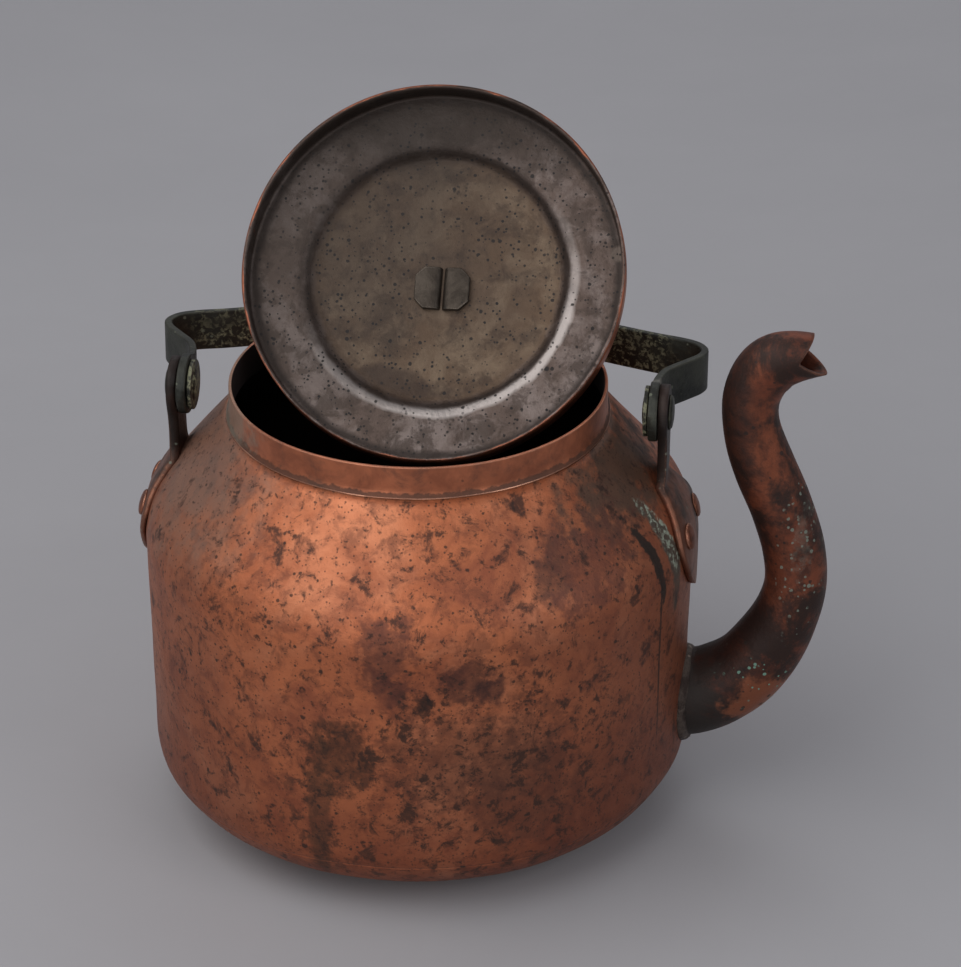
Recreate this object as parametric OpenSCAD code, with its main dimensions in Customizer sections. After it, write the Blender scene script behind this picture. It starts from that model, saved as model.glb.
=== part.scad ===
// Copper kettle with a loose cap lid and a swinging strap handle.
// Origin: centre of the base, on the surface the kettle stands on. +Z is up, +X points to the spout.

/* [Body] */
// Largest radius of the body, just under the shoulder
body_r = 105; // [100:1:108]
// Height of the mouth's rim above the base
rim_h = 176; // [174:1:178]
// Thickness of the body's sheet copper
sheet_t = 1.5; // [1.2:0.1:1.6]
// Slope of the shoulder above the horizontal
shoulder_deg = 50; // [48:1:52]
// Radius of the bend between wall and shoulder
shoulder_bend_r = 32; // [30:0.5:33]
// How far the rounded foot of the body reaches in from the wall
foot_in = 52; // [48:1:56]
// Height of the rounded foot of the body
foot_h = 31; // [29:1:33]

/* [Mouth and lid] */
// Outside radius of the neck band
neck_r = 71.5; // [71:0.1:71.8]
// Height of the neck band
neck_h = 12.3; // [11.5:0.1:13]
// Thickness of the neck band and of the lid's sheet
band_t = 1.3; // [1.1:0.1:1.4]
// Depth of the lid's turned-down flange
flange_h = 12; // [11:0.5:12]
// Radial play between the lid's flange and the neck band
lid_play = 0.6; // [0.5:0.1:0.8]
// Radius of the raised panel in the middle of the lid
panel_r = 50.5; // [46:0.5:52]
// Height of the raised panel above the lid's ledge
panel_rise = 4.8; // [4:0.2:5]
// How far the standing lid leans back from upright
lean_deg = 38.5; // [38:0.1:39]

/* [Spout] */
// Height of the middle of the spout's root
root_z = 47; // [46:1:49]
// Thickness of the spout's wall
spout_t = 1.3; // [1.1:0.1:1.5]

/* [Handle and ears] */
// Height of the handle's pivots
pivot_z = 168.5; // [168:0.1:169.5]
// Height of the handle above its pivots when it stands up
handle_rise = 83; // [82.5:0.5:86]
// Width of the handle's strap
strap_w = 16; // [14:0.5:16.4]
// Thickness of the handle's strap
strap_t = 3; // [2.6:0.2:3.2]
// How far the folded handle drops below its pivots
fold_deg = 3.2; // [0:0.2:4.2]
// Thickness of the ears' plate
ear_t = 2; // [1.6:0.1:2.5]
// Half the width of an ear at its widest
ear_half_w = 23; // [20:0.5:23]

/* [Hidden] */
$fn = 64;

copper = "peru";
dark_copper = "sienna";
dull_bronze = "darkolivegreen";
old_tin = "rosybrown";

// ---- outlines of the body ----
wall_taper = 1;
seam_z = 24;
neck_base_z = rim_h - neck_h;
cone_top_r = neck_r + 1;
bend_turn = 90 - shoulder_deg;
cone_foot_r = body_r - shoulder_bend_r * (1 - cos(bend_turn));
cone_foot_z = neck_base_z - tan(shoulder_deg) * (cone_foot_r - cone_top_r);
bend_z = cone_foot_z - shoulder_bend_r * sin(bend_turn);
foot_r = body_r - wall_taper;

// Radius of the rounded foot at height z
function foot_at(z) = foot_r - foot_in + foot_in * sqrt(1 - pow(1 - z / foot_h, 2));

// Points of the rounded foot, the wall and the shoulder, from low to high
foot_points = [for (i = [0:14]) let (a = 90 * i / 14)
    [foot_r - foot_in + foot_in * sin(a), foot_h * (1 - cos(a))]];
shoulder_points = concat(
    [for (i = [0:10]) let (a = bend_turn * i / 10)
        [body_r - shoulder_bend_r * (1 - cos(a)), bend_z + shoulder_bend_r * sin(a)]],
    [[cone_top_r, neck_base_z]]);
skin = concat([[0, 0]], foot_points, shoulder_points);

// Unit normal of a polyline at point i, to the right of its direction
function unit(v) = v / norm(v);
function right_of(v) = [v[1], -v[0]];
function normal_at(p, i) =
    let (before = i > 0 ? unit(p[i] - p[i - 1]) : unit(p[1] - p[0]),
         after = i < len(p) - 1 ? unit(p[i + 1] - p[i]) : before,
         middle = unit(before + after))
    right_of(middle) / (middle * before);
function shifted(p, d) = [for (i = [0:len(p) - 1]) p[i] + d * normal_at(p, i)];
function reversed(p) = [for (i = [len(p) - 1:-1:0]) p[i]];

// A strip of thickness t that lies to the left of the polyline p
function strip(p, t) = concat(p, reversed(shifted(p, -t)));

// Catmull-Rom curve through the points p, with n steps between neighbours
function curve_at(a, b, c, d, t) =
    0.5 * (2 * b + (c - a) * t + (2 * a - 5 * b + 4 * c - d) * t * t
           + (3 * b - a - 3 * c + d) * t * t * t);
function curve(p, n) = concat(
    [for (i = [0:len(p) - 2]) for (k = [0:n - 1])
        curve_at(p[max(i - 1, 0)], p[i], p[i + 1], p[min(i + 2, len(p) - 1)], k / n)],
    [p[len(p) - 1]]);

// Everything inside the body's outer skin, grown outwards by d
module body_solid(d = 0) {
    outline = d == 0 ? skin : shifted(skin, d);
    rotate_extrude($fn = 96)
        polygon(concat([[0, outline[0][1]]], [for (q = outline) if (q[0] > 0) q],
                       [[0, outline[len(outline) - 1][1]]]));
}

// The body's sheet metal as one closed bowl, before it is parted at the seam
module body_sheet() {
    rotate_extrude($fn = 96)
        intersection() {
            polygon(strip(skin, sheet_t));
            square([body_r + 1, neck_base_z]);
        }
}

// ---- ears ----
ear_bar_in = 91.5;
ear_bar_t = 3.5;
ear_eye_r = 10.5;
ear_neck_half = 8;
ear_foot_z = 136;
pin_r = 4;
// One edge of an ear's spade, from its point up to the bar: share of half the width, and height
EAR_EDGE = [[0, 97], [0.3, 100], [0.5, 104], [0.72, 109.5], [0.92, 116], [1, 121.5], [0.95, 126], [0.82, 130],
            [0.66, 134], [0.5, 138.5], [0.4, 143], [ear_neck_half / ear_half_w, 147]];

// Copies what follows to the spout side (side = 0) or to the rear (side = 1)
module at_side(side) { rotate([0, 0, 180 * side]) children(); }

// Front view of an ear's spade, with a stub of its bar
module ear_outline() {
    edge = [for (q = curve(EAR_EDGE, 2)) [ear_half_w * q[0], q[1]]];
    polygon(concat(edge, [[ear_neck_half, pivot_z], [-ear_neck_half, pivot_z]],
                   [for (i = [len(edge) - 1:-1:1]) [-edge[i][0], edge[i][1]]]));
}

module ear(side) {
    color(dark_copper) at_side(side) difference() {
        union() {
            intersection() {
                translate([ear_bar_in, 0, 0]) rotate([90, 0, 90]) linear_extrude(25) ear_outline();
                body_solid(ear_t);
            }
            translate([ear_bar_in, -ear_neck_half, ear_foot_z])
                cube([ear_bar_t, 2 * ear_neck_half, pivot_z - ear_foot_z]);
            translate([ear_bar_in, 0, pivot_z]) rotate([0, 90, 0]) cylinder(r = ear_eye_r, h = ear_bar_t);
        }
        body_solid();
        translate([ear_bar_in - 1, 0, pivot_z]) rotate([0, 90, 0]) cylinder(r = pin_r, h = ear_bar_t + 2);
        for (k = [0, 1]) rivet_place(k) rivet_hole();
    }
}

// ---- rivets that hold the ears ----
rivet_r = 2.4;
rivet_head_r = 5;
rivet_head_h = 2.2;
rivet_z = 122.5;
// Sideways turn of an ear's left and right rivet
RIVET_TURNS = [-6.9, 6.9];

// Moves to a rivet's place on the body's skin, with +Z along the skin's normal
module rivet_place(k) {
    tilt = asin((rivet_z - bend_z) / shoulder_bend_r);
    reach = body_r - shoulder_bend_r * (1 - cos(tilt));
    rotate([0, 0, RIVET_TURNS[k]]) translate([reach, 0, rivet_z]) rotate([0, 90 - tilt, 0]) children();
}

module rivet_hole() { translate([0, 0, -8]) cylinder(r = rivet_r, h = 16); }

// Domed head outside, shank through plate and wall, flat closed head inside
module ear_rivet(side, k) {
    color(copper) at_side(side) union() {
        difference() {
            rivet_place(k) intersection() {
                translate([0, 0, ear_t - 1]) cylinder(r = rivet_head_r, h = rivet_head_h + 1);
                translate([0, 0, ear_t + rivet_head_h - 7]) sphere(r = 7);
            }
            body_solid(ear_t);
        }
        rivet_place(k) translate([0, 0, -sheet_t - 0.7]) cylinder(r = rivet_r, h = sheet_t + ear_t + 1.7);
        intersection() {
            rivet_place(k) translate([0, 0, -sheet_t - 1.4]) cylinder(r = 4.2, h = 2);
            body_solid(-sheet_t);
        }
    }
}

// ---- spout ----
// Middle line of the spout in the XZ plane, and the tube's outer diameter there
SPOUT = [[100, root_z - 0.6, 34], [108, root_z + 0.8, 33.8], [117, root_z + 5, 32.4], [129.5, root_z + 15.5, 29.6],
         [139.5, 79, 26.8], [144.8, 97, 24.4], [143.8, 114, 24], [138.6, 131, 24], [131.6, 148, 23.3],
         [126.4, 163, 22], [125.2, 175, 21.7], [128, 185, 21.5], [133.4, 191.4, 21.3], [141, 194.4, 19],
         [154, 196, 14]];
spout_line = curve(SPOUT, 2);
spout_sides = 28;

// A closed tube round the spout's line, with its radius changed by grow
module spout_core(grow) {
    line = spout_line;
    last = len(line) - 1;
    ring = [for (i = [0:last])
        let (step = line[min(i + 1, last)] - line[max(i - 1, 0)],
             along = unit([step[0], 0, step[1]]),
             across = [-along[2], 0, along[0]],
             r = line[i][2] / 2 + grow)
        [for (k = [0:spout_sides - 1]) let (a = 360 * k / spout_sides)
            [line[i][0], 0, line[i][1]] + r * (cos(a) * across + sin(a) * [0, 1, 0])]];
    polyhedron(
        points = [for (one = ring) each one],
        faces = concat(
            [[for (k = [spout_sides - 1:-1:0]) k]],
            [for (i = [0:last - 1]) for (k = [0:spout_sides - 1])
                let (n = (k + 1) % spout_sides, a = i * spout_sides, b = a + spout_sides)
                [a + k, a + n, b + n, b + k]],
            [[for (k = [0:spout_sides - 1]) last * spout_sides + k]]),
        convexity = 6);
}

module spout() {
    color(dark_copper) difference() {
        spout_core(0);
        spout_core(-spout_t);
        body_solid();
        // open beak: two lips with a deep nick between them
        translate([0, 30, 0]) rotate([90, 0, 0]) linear_extrude(60)
            polygon([[142.6, 195.7], [148.9, 205.5], [170, 205.5], [170, 184], [159.3, 184]]);
    }
}

collar_r = 18.9;
collar_end = 108.6;
module spout_collar() {
    color(dark_copper) difference() {
        translate([body_r - 10, 0, root_z]) rotate([0, 90, 0]) cylinder(r = collar_r, h = collar_end - body_r + 10);
        body_solid();
        spout_core(0.02);
    }
}

// ---- body ----
module body_wall() {
    color(copper) difference() {
        body_sheet();
        translate([0, 0, -1]) cylinder(r = body_r + 5, h = seam_z + 1);
        translate([body_r - 15, 0, root_z]) rotate([0, 90, 0]) cylinder(r = 15.4, h = 30);
        for (side = [0, 1]) at_side(side) for (k = [0, 1]) rivet_place(k) rivet_hole();
    }
}

module base_pan() {
    color(copper) intersection() {
        body_sheet();
        cylinder(r = body_r + 5, h = seam_z);
    }
}

module neck_band() {
    color(copper) rotate_extrude($fn = 96)
        polygon([[neck_r - band_t, neck_base_z], [neck_r + 1.2, neck_base_z], [neck_r + 1.2, neck_base_z + 0.7],
                 [neck_r + 0.4, neck_base_z + 1.5], [neck_r + 0.1, neck_base_z + 2.3], [neck_r, neck_base_z + 3],
                 [neck_r, rim_h - 0.3], [neck_r - 0.3, rim_h], [neck_r - band_t + 0.3, rim_h],
                 [neck_r - band_t, rim_h - 0.3]]);
}

// ---- handle and its pivots ----
eye_t = 3.5;
side_play = 0.4;
eye_in = ear_bar_in - side_play - eye_t;
washer_t = 1.5;
washer_in = eye_in - side_play - washer_t;
strap_x = eye_in + eye_t / 2;
handle_eye_r = 11.4;
pin_play = 0.05;

// Middle line of half the handle, standing up: arm, outward elbow and the crowned bridge
HANDLE_HALF = [[strap_x, 0], [strap_x, 13], [strap_x + 2.6, 22.5], [strap_x + 9.2, 31.5], [strap_x + 14.2, 38.5],
               [strap_x + 15.2, 44.5], [strap_x + 11.8, 50], [strap_x + 5, 53.4], [85, 56.2], [72, 61.2], [58, 67.2],
               [44, 73.2], [30, 78.2], [15, handle_rise - 1.2], [0, handle_rise]];
handle_line = curve(HANDLE_HALF, 3);
handle_path = concat(handle_line,
    [for (i = [len(handle_line) - 2:-1:0]) [-handle_line[i][0], handle_line[i][1]]]);

// The handle standing upright over the origin, its pivots on the X axis
module handle_upright() {
    difference() {
        union() {
            translate([0, strap_w / 2, 0]) rotate([90, 0, 0]) linear_extrude(strap_w)
                polygon(concat(shifted(handle_path, strap_t / 2), reversed(shifted(handle_path, -strap_t / 2))));
            for (s = [-1, 1]) translate([s * strap_x - eye_t / 2, 0, 0]) rotate([0, 90, 0])
                cylinder(r = handle_eye_r, h = eye_t);
        }
        for (s = [-1, 1]) translate([s * strap_x - eye_t, 0, 0]) rotate([0, 90, 0])
            cylinder(r = pin_r + pin_play, h = 2 * eye_t);
    }
}

module handle() {
    color(dull_bronze) translate([0, 0, pivot_z]) rotate([-90 - fold_deg, 0, 0]) handle_upright();
}

module pivot_rivet(side) {
    color(dull_bronze) at_side(side) translate([0, 0, pivot_z]) rotate([0, 90, 0]) union() {
        translate([0, 0, washer_in]) cylinder(r = pin_r, h = ear_bar_in + ear_bar_t - washer_in);
        translate([0, 0, ear_bar_in + ear_bar_t]) cylinder(r1 = 6.5, r2 = 5, h = 1.2);
        intersection() {
            translate([0, 0, washer_in - 1.4]) cylinder(r = 6.4, h = 1.4);
            translate([0, 0, washer_in - 1.4 + 16]) sphere(r = 16);
        }
    }
}

module pivot_washer(side) {
    color(dull_bronze) at_side(side) translate([washer_in, 0, pivot_z]) rotate([0, 90, 0]) difference() {
        cylinder(r = 9.6, h = washer_t);
        translate([0, 0, -1]) cylinder(r = pin_r, h = washer_t + 2);
    }
}

// ---- lid, drawn as it lies closed: flange down, raised panel up ----
lid_r = neck_r + lid_play + band_t;
panel_z = flange_h + panel_rise;
lid_bend = 2.6;
lid_x = 1.5;
lid_y = 30;
lid_z = 207.5;
leg_t = 2.8;
leg_gap = 0.8;
leg_w = 16;
slot_w = 2 * leg_t + leg_gap + 0.2;
slot_l = leg_w + 0.2;
loop_r = 11.5;
loop_top = 32.4;
// How far the loop sits off the lid's centre
loop_off = [2, 3.2];

lid_skin = concat(
    [[lid_r, 0], [lid_r, flange_h - lid_bend]],
    [for (a = [15:15:75]) [lid_r - lid_bend * (1 - cos(a)), flange_h - lid_bend * (1 - sin(a))]],
    [[lid_r - lid_bend, flange_h], [panel_r + 3, flange_h - 0.2], [panel_r + 1.4, flange_h + 0.5],
     [panel_r - 1.2, panel_z - 0.9], [panel_r - 3, panel_z - 0.1], [panel_r - 6, panel_z + 0.2],
     [panel_r * 0.6, panel_z + 0.9], [panel_r * 0.3, panel_z + 1.2], [4, panel_z + 1.3], [0, panel_z + 1.3]]);

// Places the lid in the mouth, standing on edge with its underside to the front
module standing() {
    translate([lid_x, lid_y, lid_z]) rotate([-90 - lean_deg, 0, 0]) children();
}

module lid_plate() {
    color(old_tin) standing() difference() {
        rotate_extrude($fn = 96) polygon(strip(lid_skin, band_t));
        // slot for the loop's two legs
        translate([loop_off[0] - slot_w / 2, loop_off[1] - slot_l / 2, 0]) cube([slot_w, slot_l, panel_z + 5]);
    }
}

// Strap folded into a ring, its two legs clenched flat under the lid
under_z = panel_z + 1.2 - band_t;
leg_x = (leg_t + leg_gap) / 2;
loop_mid_z = panel_z + 1.3 + loop_top - loop_r - leg_t / 2;
loop_open = asin(leg_x / loop_r);
module lid_loop() {
    half = concat([[10.5, under_z - leg_t / 2], [leg_x + 1.6, under_z - leg_t / 2], [leg_x + 0.4, under_z - leg_t / 2 + 0.5],
                   [leg_x, under_z]],
                  [[leg_x, loop_mid_z - loop_r * cos(loop_open) - 1.5]],
                  [for (i = [1:12]) let (a = -90 + loop_open + (180 - loop_open) * i / 12)
                      [loop_r * cos(a), loop_mid_z + loop_r * sin(a)]]);
    line = concat(half, [for (i = [len(half) - 2:-1:0]) [-half[i][0], half[i][1]]]);
    color(dull_bronze) standing() translate([loop_off[0], loop_off[1], 0]) intersection() {
        translate([0, leg_w / 2, 0]) rotate([90, 0, 0]) linear_extrude(leg_w)
            polygon(concat(shifted(line, leg_t / 2), reversed(shifted(line, -leg_t / 2))));
        // clipped corners of the clenched legs
        linear_extrude(60) polygon([for (s = [[1, 1], [-1, 1], [-1, -1], [1, -1]])
            each s[0] * s[1] > 0 ? [[12 * s[0], 4.5 * s[1]], [8 * s[0], 8.5 * s[1]]]
                                 : [[8 * s[0], 8.5 * s[1]], [12 * s[0], 4.5 * s[1]]]]);
    }
}

body_wall();
base_pan();
neck_band();
spout();
spout_collar();
ear(0);  // ear_front
ear(1);  // ear_rear
ear_rivet(0, 0);  // ear_rivet_front_left
ear_rivet(0, 1);  // ear_rivet_front_right
ear_rivet(1, 0);  // ear_rivet_rear_left
ear_rivet(1, 1);  // ear_rivet_rear_right
pivot_rivet(0);  // pivot_rivet_front
pivot_rivet(1);  // pivot_rivet_rear
pivot_washer(0);  // pivot_washer_front
pivot_washer(1);  // pivot_washer_rear
handle();
lid_plate();
lid_loop();
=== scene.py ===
"""A worn copper kettle with a beaked spout, a swinging strap handle and a cap lid standing in its mouth."""
import math

import bmesh
import bpy
from mathutils import Matrix, Vector, noise


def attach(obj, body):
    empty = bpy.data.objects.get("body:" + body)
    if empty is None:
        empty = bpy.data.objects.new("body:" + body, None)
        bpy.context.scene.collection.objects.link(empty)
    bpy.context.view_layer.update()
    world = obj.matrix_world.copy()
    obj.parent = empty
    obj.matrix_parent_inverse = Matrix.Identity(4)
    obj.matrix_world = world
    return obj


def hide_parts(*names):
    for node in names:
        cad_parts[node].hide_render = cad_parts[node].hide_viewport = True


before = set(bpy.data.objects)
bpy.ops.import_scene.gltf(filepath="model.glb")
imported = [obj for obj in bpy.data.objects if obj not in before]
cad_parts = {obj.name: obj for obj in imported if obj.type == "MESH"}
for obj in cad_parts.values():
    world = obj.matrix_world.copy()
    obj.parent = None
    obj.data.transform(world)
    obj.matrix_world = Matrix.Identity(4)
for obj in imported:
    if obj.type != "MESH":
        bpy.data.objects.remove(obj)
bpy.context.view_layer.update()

# ---- body wall ----
# Sheet copper raised to a round-shouldered drum and closed with one upright lapped seam beside the spout.
# The foot, the neck band, the spout and the ears are all fastened to it.


def skin(name, rings, ends=True):
    """A mesh through equal-length closed rings of points. Its ends are capped if ends is True, left open
    if it is False, and joined to each other if it is None."""
    mesh = bmesh.new()
    rows = [[mesh.verts.new(p) for p in ring] for ring in rings]
    count = len(rows[0])
    pairs = list(zip(rows, rows[1:])) + ([(rows[-1], rows[0])] if ends is None else [])
    for low, high in pairs:
        for i in range(count):
            j = (i + 1) % count
            mesh.faces.new((low[i], low[j], high[j], high[i]))
    if ends:
        mesh.faces.new(rows[0][::-1])
        mesh.faces.new(rows[-1])
    bmesh.ops.remove_doubles(mesh, verts=mesh.verts, dist=1e-6)
    bmesh.ops.recalc_face_normals(mesh, faces=mesh.faces)
    data = bpy.data.meshes.new(name)
    mesh.to_mesh(data)
    mesh.free()
    data.shade_smooth()
    piece = bpy.data.objects.new(name, data)
    bpy.context.scene.collection.objects.link(piece)
    return piece


def smooth(x, low, high):
    """0 below low, 1 above high, and an easy slope between."""
    t = min(1, max(0, (x - low) / (high - low)))
    return t * t * (3 - 2 * t)


def rounded(corners, radius, steps=4, closed=False):
    """A polyline with each corner turned in a short curve; corners are 2-D, radius in the same unit."""
    count = len(corners)
    result = []
    for i, here in enumerate(corners):
        here = Vector(here)
        if not closed and i in (0, count - 1):
            result.append(here)
            continue
        back, ahead = Vector(corners[i - 1]) - here, Vector(corners[(i + 1) % count]) - here
        cut = min(radius, back.length * 0.48, ahead.length * 0.48)
        start, stop = here + back.normalized() * cut, here + ahead.normalized() * cut
        for k in range(steps + 1):
            t = k / steps
            result.append(start * (1 - t) ** 2 + here * 2 * t * (1 - t) + stop * t ** 2)
    return result


def lathe(name, profile, turns=192, shape=None, closed=False):
    """A surface of revolution round Z from (radius, height) points, each point passed through shape."""
    rings = []
    for r, z in profile:
        ring = []
        for i in range(turns):
            a = 2 * math.pi * i / turns
            p = Vector((r * math.cos(a), r * math.sin(a), z))
            ring.append(shape(p) if shape else p)
        rings.append(ring)
    return skin(name, rings, ends=None if closed else False)


# Radii and heights, from the foot up: a round foot, a nearly straight wall, a bent shoulder and a cone
FOOT_CENTRE, FOOT_ROUND, FOOT_HEIGHT = 0.052, 0.052, 0.031
WALL_RADIUS, WALL_SPREAD = 0.104, 0.001
BEND_CENTRE, BEND_ROUND, BEND_HEIGHT = 0.073, 0.032, 0.1133
CONE_RADIUS, CONE_HEIGHT, CONE_SLOPE = 0.0975, 0.13387, 0.838
SEAM_HEIGHT = 0.024
SHEET = 0.0015


def body_radius(z):
    """Outside radius of the body at height z."""
    if z < FOOT_HEIGHT:
        return FOOT_CENTRE + FOOT_ROUND * math.sqrt(max(0, 1 - (1 - z / FOOT_HEIGHT) ** 2))
    if z < BEND_HEIGHT:
        return WALL_RADIUS + WALL_SPREAD * (z - FOOT_HEIGHT) / (BEND_HEIGHT - FOOT_HEIGHT)
    if z < CONE_HEIGHT:
        return BEND_CENTRE + math.sqrt(BEND_ROUND ** 2 - (z - BEND_HEIGHT) ** 2)
    return CONE_RADIUS - (z - CONE_HEIGHT) * CONE_SLOPE


def dented(p):
    """Shallow waves and a few knocks left in the sheet by the hammer and by use."""
    flat = Vector((p.x, p.y, 0))
    if flat.length < 1e-4:
        return p
    wave = noise.noise(p * 17) * 0.0009 + noise.noise(p * 41 + Vector((3, 1, 7))) * 0.0004
    wave *= smooth(0.166 - p.z, 0, 0.02)
    return p + flat.normalized() * wave


foot = [(FOOT_CENTRE + FOOT_ROUND * math.sin(math.radians(a)), FOOT_HEIGHT * (1 - math.cos(math.radians(a))))
        for a in range(0, 91, 3)]
wall_side = [(body_radius(z), z) for z in [FOOT_HEIGHT + 0.0035 * i for i in range(1, 24)]]
bend = [(BEND_CENTRE + BEND_ROUND * math.cos(math.radians(a)),
         BEND_HEIGHT + BEND_ROUND * math.sin(math.radians(a))) for a in range(0, 41, 3)]
cone = [(CONE_RADIUS - 0.025 * i / 10, CONE_HEIGHT + 0.02983 * i / 10) for i in range(11)]
side = [Vector(p) for p in foot + wall_side + bend + cone]


def inward(points, depth):
    """The same polyline moved to its left by depth."""
    moved = []
    for i, p in enumerate(points):
        along = (points[min(i + 1, len(points) - 1)] - points[max(i - 1, 0)]).normalized()
        moved.append(p + Vector((-along.y, along.x)) * depth)
    return moved


seam = Vector((body_radius(SEAM_HEIGHT), SEAM_HEIGHT))
upper = [seam] + [p for p in side if p.y > SEAM_HEIGHT]
body_wall = lathe("body_wall_sheet", upper + inward(upper, SHEET)[::-1], shape=dented, closed=True)
ROOT_HEIGHT = 0.047
BORE_RADIUS = 0.0152
bore = lathe("spout_bore", [(0, -0.02), (BORE_RADIUS, -0.02), (BORE_RADIUS, 0.02), (0, 0.02)], turns=48)
bore.matrix_world = Matrix.Translation((WALL_RADIUS, 0, ROOT_HEIGHT)) @ Matrix.Rotation(math.pi / 2, 4, "Y")
cut = body_wall.modifiers.new("bore", "BOOLEAN")
cut.object = bore
cut.solver = "EXACT"
bpy.context.view_layer.update()
opened = bpy.data.meshes.new_from_object(body_wall.evaluated_get(bpy.context.evaluated_depsgraph_get()))
body_wall.modifiers.clear()
body_wall.data = opened
opened.shade_smooth()
bpy.data.objects.remove(bore)


def add(tree, kind, inputs=None, **settings):
    """A shader node whose inputs are given as values or as sockets to link."""
    node = tree.nodes.new("ShaderNode" + kind)
    for key, value in settings.items():
        setattr(node, key, value)
    for key, value in (inputs or {}).items():
        if isinstance(value, bpy.types.NodeSocket):
            tree.links.new(value, node.inputs[key])
        else:
            node.inputs[key].default_value = value
    return node


def effect(name, inputs, output):
    """An empty effect with named inputs (name: default) and one float output."""
    tree = bpy.data.node_groups.new(name, "ShaderNodeTree")
    for label, value in inputs.items():
        kind = "NodeSocketVector" if isinstance(value, tuple) else "NodeSocketFloat"
        tree.interface.new_socket(label, in_out="INPUT", socket_type=kind).default_value = value
    tree.interface.new_socket(output, in_out="OUTPUT", socket_type="NodeSocketFloat")
    return tree, tree.nodes.new("NodeGroupInput").outputs, tree.nodes.new("NodeGroupOutput").inputs


# Blotches: cloudy patches of tarnish, Amount of the surface covered, with edges as soft as Edge.
blotches, given, made = effect(
    "Blotches", {"Scale": 30.0, "Amount": 0.5, "Edge": 0.1, "Shift": (0, 0, 0)}, "Mask")
place = add(blotches, "Mapping", {"Vector": add(blotches, "TexCoord").outputs["Object"],
                                  "Location": given["Shift"]})
cloud = add(blotches, "TexNoise", {"Vector": place.outputs[0], "Scale": given["Scale"], "Detail": 10.0,
                                   "Roughness": 0.68, "Distortion": 0.4})
middle = add(blotches, "MapRange", {"Value": given["Amount"], "To Min": 0.72, "To Max": 0.28})
low = add(blotches, "Math", {0: middle.outputs[0], 1: given["Edge"]}, operation="SUBTRACT")
high = add(blotches, "Math", {0: middle.outputs[0], 1: given["Edge"]}, operation="ADD")
patch = add(blotches, "MapRange", {"Value": cloud.outputs["Fac"], "From Min": low.outputs[0],
                                   "From Max": high.outputs[0]}, interpolation_type="SMOOTHSTEP")
blotches.links.new(patch.outputs[0], made["Mask"])

# Specks: small round-ish pits and dots, one per cell, with Share of the cells filled.
specks, given, made = effect(
    "Specks", {"Scale": 300.0, "Size": 0.3, "Share": 0.3, "Shift": (0, 0, 0)}, "Mask")
place = add(specks, "Mapping", {"Vector": add(specks, "TexCoord").outputs["Object"],
                                "Location": given["Shift"]})
ragged = add(specks, "TexNoise", {"Vector": place.outputs[0], "Scale": 900.0, "Detail": 2.0})
cells = add(specks, "TexVoronoi", {"Vector": place.outputs[0], "Scale": given["Scale"]})
lot = add(specks, "SeparateColor", {"Color": cells.outputs["Color"]})
filled = add(specks, "Math", {0: lot.outputs[0], 1: given["Share"]}, operation="LESS_THAN")
reach = add(specks, "Math", {0: lot.outputs[1], 1: given["Size"]}, operation="MULTIPLY")
worn = add(specks, "Math", {0: ragged.outputs["Fac"], 1: 0.25, 2: cells.outputs["Distance"]},
           operation="MULTIPLY_ADD")
far = add(specks, "Math", {0: reach.outputs[0], 1: 0.16}, operation="ADD")
near = add(specks, "Math", {0: reach.outputs[0], 1: 0.08}, operation="ADD")
dot = add(specks, "MapRange", {"Value": worn.outputs[0], "From Min": far.outputs[0],
                               "From Max": near.outputs[0]})
speck = add(specks, "Math", {0: dot.outputs[0], 1: filled.outputs[0]}, operation="MULTIPLY")
specks.links.new(speck.outputs[0], made["Mask"])

# Stain: one ragged mark round Centre, as wide as Reach along each axis. It shapes the real stains and also
# the painted shade and painted highlights.
stain_and_painted_light, given, made = effect(
    "Stain", {"Centre": (0, 0, 0), "Reach": (0.01, 0.01, 0.01), "Ragged": 0.6, "Grain": 90.0, "Edge": 0.25},
    "Mask")
place = add(stain_and_painted_light, "TexCoord").outputs["Object"]
offset = add(stain_and_painted_light, "VectorMath", {0: place, 1: given["Centre"]}, operation="SUBTRACT")
share = add(stain_and_painted_light, "VectorMath", {0: offset.outputs[0], 1: given["Reach"]}, operation="DIVIDE")
length = add(stain_and_painted_light, "VectorMath", {0: share.outputs[0]}, operation="LENGTH")
cloud = add(stain_and_painted_light, "TexNoise", {"Vector": place, "Scale": given["Grain"], "Detail": 6.0, "Roughness": 0.65})
swing = add(stain_and_painted_light, "Math", {0: cloud.outputs["Fac"], 1: 0.5}, operation="SUBTRACT")
rough_edge = add(stain_and_painted_light, "Math", {0: swing.outputs[0], 1: given["Ragged"]}, operation="MULTIPLY")
worn = add(stain_and_painted_light, "Math", {0: rough_edge.outputs[0], 1: 4.0, 2: length.outputs["Value"]},
           operation="MULTIPLY_ADD")
low = add(stain_and_painted_light, "Math", {0: 1.0, 1: given["Edge"]}, operation="ADD")
high = add(stain_and_painted_light, "Math", {0: 1.0, 1: given["Edge"]}, operation="SUBTRACT")
mark = add(stain_and_painted_light, "MapRange", {"Value": worn.outputs[0], "From Min": low.outputs[0],
                               "From Max": high.outputs[0]}, interpolation_type="SMOOTHSTEP")
stain_and_painted_light.links.new(mark.outputs[0], made["Mask"])

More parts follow.
